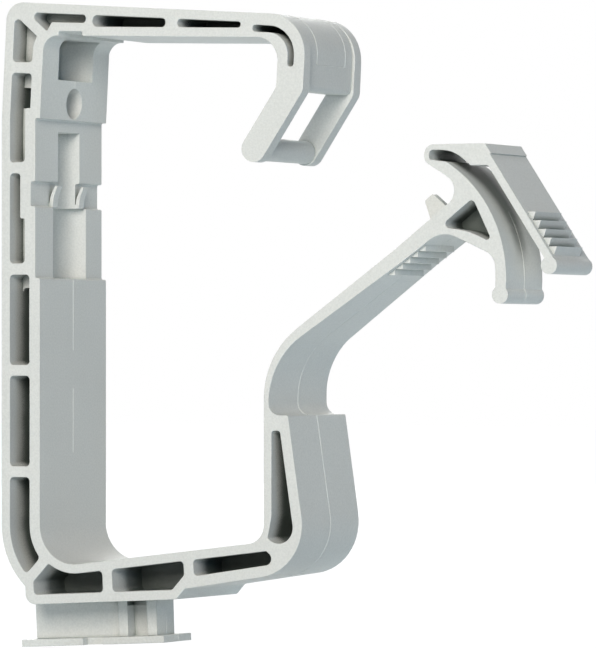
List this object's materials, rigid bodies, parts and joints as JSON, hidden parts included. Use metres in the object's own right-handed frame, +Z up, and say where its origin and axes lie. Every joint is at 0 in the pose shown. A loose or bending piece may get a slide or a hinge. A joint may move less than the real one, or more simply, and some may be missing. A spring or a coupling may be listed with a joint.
{
  "type": "cable clip",
  "caption": "Moulded C-shaped cable clip: ribbed frame with screw hole and keyhole in the spine, windowed hook, hinged arm with a snap head that closes on the hook, and a sliding T foot.",
  "frame": {"origin": "where the axis of the screw hole meets the plane of the wall behind the spine", "axes": "+X leaves the wall along the screw's axis, +Y runs through the depth of the clip, +Z is up along the spine"},
  "size_m": [0.1253, 0.0282, 0.1354],
  "materials": {
    "body": "fine-grained light grey moulding"
  },
  "bodies": {
    "root": {"cable_clip": "body"}
  },
  "joints": []
}
